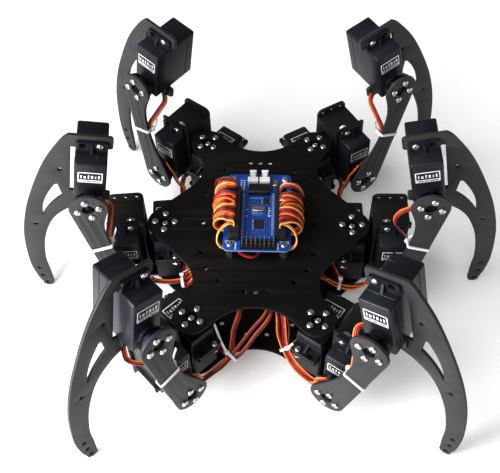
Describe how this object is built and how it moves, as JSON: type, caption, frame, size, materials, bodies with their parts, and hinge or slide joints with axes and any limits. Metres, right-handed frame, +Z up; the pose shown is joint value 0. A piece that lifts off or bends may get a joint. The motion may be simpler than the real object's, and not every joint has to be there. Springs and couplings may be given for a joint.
{
  "type": "hexapod walking robot",
  "caption": "Hexapod walking robot: notched black deck plates, a yaw, lift and knee servo in every leg, curved fang-shaped lower legs, and a blue controller board with bundled leads.",
  "frame": {"origin": "middle of the base of the whole object, on the floor it rests on", "axes": "+X the robot's right side, +Y its back, +Z up"},
  "size_m": [0.334, 0.2884, 0.1576],
  "materials": {
    "black_sheet": "black anodised aluminium sheet, satin with a slight warm grey sheen",
    "servo_case": "black moulded nylon, semi-gloss with fine moulding texture",
    "horn_metal": "dark blue-black anodised turned metal",
    "standoff_metal": "nickel-plated hexagonal standoffs and pan-head screws",
    "circuit_board": "blue solder mask with white print, black and white connectors",
    "battery_wrap": "blue shrink wrap",
    "lead_jacket": "three-wire servo leads in orange, red and brown insulation"
  },
  "bodies": {
    "chassis": {"top_plate": "black_sheet", "bottom_plate": "black_sheet", "controller_board": "circuit_board", "battery_pack": "battery_wrap", "lead_coil_left": "lead_jacket", "lead_coil_right": "lead_jacket", "deck_column_front_left": "standoff_metal", "deck_column_back_left": "standoff_metal", "deck_column_front_right": "standoff_metal", "deck_column_back_right": "standoff_metal", "yaw_horn_front_left": "horn_metal", "yaw_horn_middle_left": "horn_metal", "yaw_horn_back_left": "horn_metal", "yaw_horn_front_right": "horn_metal", "yaw_horn_middle_right": "horn_metal", "yaw_horn_back_right": "horn_metal"},
    "coxa_front_left": {"yaw_servo_front_left": "servo_case", "hip_bracket_front_left": "black_sheet", "lift_servo_front_left": "servo_case"},
    "femur_front_left": {"femur_link_front_left": "black_sheet", "knee_lead_front_left": "lead_jacket"},
    "tibia_front_left": {"knee_servo_front_left": "servo_case", "tibia_plate_front_left": "black_sheet"},
    "coxa_middle_left": {"yaw_servo_middle_left": "servo_case", "hip_bracket_middle_left": "black_sheet", "lift_servo_middle_left": "servo_case"},
    "femur_middle_left": {"femur_link_middle_left": "black_sheet", "knee_lead_middle_left": "lead_jacket"},
    "tibia_middle_left": {"knee_servo_middle_left": "servo_case", "tibia_plate_middle_left": "black_sheet"},
    "coxa_back_left": {"yaw_servo_back_left": "servo_case", "hip_bracket_back_left": "black_sheet", "lift_servo_back_left": "servo_case"},
    "femur_back_left": {"femur_link_back_left": "black_sheet", "knee_lead_back_left": "lead_jacket"},
    "tibia_back_left": {"knee_servo_back_left": "servo_case", "tibia_plate_back_left": "black_sheet"},
    "coxa_front_right": {"yaw_servo_front_right": "servo_case", "hip_bracket_front_right": "black_sheet", "lift_servo_front_right": "servo_case"},
    "femur_front_right": {"femur_link_front_right": "black_sheet", "knee_lead_front_right": "lead_jacket"},
    "tibia_front_right": {"knee_servo_front_right": "servo_case", "tibia_plate_front_right": "black_sheet"},
    "coxa_middle_right": {"yaw_servo_middle_right": "servo_case", "hip_bracket_middle_right": "black_sheet", "lift_servo_middle_right": "servo_case"},
    "femur_middle_right": {"femur_link_middle_right": "black_sheet", "knee_lead_middle_right": "lead_jacket"},
    "tibia_middle_right": {"knee_servo_middle_right": "servo_case", "tibia_plate_middle_right": "black_sheet"},
    "coxa_back_right": {"yaw_servo_back_right": "servo_case", "hip_bracket_back_right": "black_sheet", "lift_servo_back_right": "servo_case"},
    "femur_back_right": {"femur_link_back_right": "black_sheet", "knee_lead_back_right": "lead_jacket"},
    "tibia_back_right": {"knee_servo_back_right": "servo_case", "tibia_plate_back_right": "black_sheet"}
  },
  "joints": [
    {"name": "yaw_front_left", "type": "hinge", "parent": "chassis", "child": "coxa_front_left", "pos_m": [-0.04183, -0.06765, 0], "axis": [0, 0, 1], "range_deg": [-30, 30]},
    {"name": "lift_front_left", "type": "hinge", "parent": "coxa_front_left", "child": "femur_front_left", "pos_m": [-0.06166, -0.08742, 0.0305], "axis": [-0.7059, 0.7083, 0], "range_deg": [-60, 15]},
    {"name": "knee_front_left", "type": "hinge", "parent": "femur_front_left", "child": "tibia_front_left", "pos_m": [-0.07263, -0.09835, 0.11408], "axis": [0.7059, -0.7083, 0], "range_deg": [-70, 20]},
    {"name": "yaw_middle_left", "type": "hinge", "parent": "chassis", "child": "coxa_middle_left", "pos_m": [-0.06683, 0.01035, 0], "axis": [0, 0, 1], "range_deg": [-30, 30]},
    {"name": "lift_middle_left", "type": "hinge", "parent": "coxa_middle_left", "child": "femur_middle_left", "pos_m": [-0.09466, 0.00733, 0.0305], "axis": [-0.108, 0.9942, 0], "range_deg": [-60, 15]},
    {"name": "knee_middle_left", "type": "hinge", "parent": "femur_middle_left", "child": "tibia_middle_left", "pos_m": [-0.10905, 0.00576, 0.11426], "axis": [0.108, -0.9942, 0], "range_deg": [-70, 20]},
    {"name": "yaw_back_left", "type": "hinge", "parent": "chassis", "child": "coxa_back_left", "pos_m": [-0.04183, 0.08835, 0], "axis": [0, 0, 1], "range_deg": [-30, 30]},
    {"name": "lift_back_left", "type": "hinge", "parent": "coxa_back_left", "child": "femur_back_left", "pos_m": [-0.06434, 0.10501, 0.0305], "axis": [0.5948, 0.8039, 0], "range_deg": [-60, 15]},
    {"name": "knee_back_left", "type": "hinge", "parent": "femur_back_left", "child": "tibia_back_left", "pos_m": [-0.07124, 0.11011, 0.11507], "axis": [-0.5948, -0.8039, 0], "range_deg": [-70, 20]},
    {"name": "yaw_front_right", "type": "hinge", "parent": "chassis", "child": "coxa_front_right", "pos_m": [0.04017, -0.06765, 0], "axis": [0, 0, 1], "range_deg": [-30, 30]},
    {"name": "lift_front_right", "type": "hinge", "parent": "coxa_front_right", "child": "femur_front_right", "pos_m": [0.06347, -0.08319, 0.0305], "axis": [-0.5548, -0.832, 0], "range_deg": [-60, 15]},
    {"name": "knee_front_right", "type": "hinge", "parent": "femur_front_right", "child": "tibia_front_right", "pos_m": [0.08177, -0.09539, 0.1126], "axis": [0.5548, 0.832, 0], "range_deg": [-70, 20]},
    {"name": "yaw_middle_right", "type": "hinge", "parent": "chassis", "child": "coxa_middle_right", "pos_m": [0.06517, 0.01035, 0], "axis": [0, 0, 1], "range_deg": [-30, 30]},
    {"name": "lift_middle_right", "type": "hinge", "parent": "coxa_middle_right", "child": "femur_middle_right", "pos_m": [0.09317, 0.01074, 0.0305], "axis": [0.014, -0.9999, 0], "range_deg": [-60, 15]},
    {"name": "knee_middle_right", "type": "hinge", "parent": "femur_middle_right", "child": "tibia_middle_right", "pos_m": [0.10808, 0.01095, 0.11418], "axis": [-0.014, 0.9999, 0], "range_deg": [-70, 20]},
    {"name": "yaw_back_right", "type": "hinge", "parent": "chassis", "child": "coxa_back_right", "pos_m": [0.04017, 0.08835, 0], "axis": [0, 0, 1], "range_deg": [-30, 30]},
    {"name": "lift_back_right", "type": "hinge", "parent": "coxa_back_right", "child": "femur_back_right", "pos_m": [0.06387, 0.10327, 0.0305], "axis": [0.5329, -0.8462, 0], "range_deg": [-60, 15]},
    {"name": "knee_back_right", "type": "hinge", "parent": "femur_back_right", "child": "tibia_back_right", "pos_m": [0.08224, 0.11484, 0.11268], "axis": [-0.5329, 0.8462, 0], "range_deg": [-70, 20]}
  ]
}
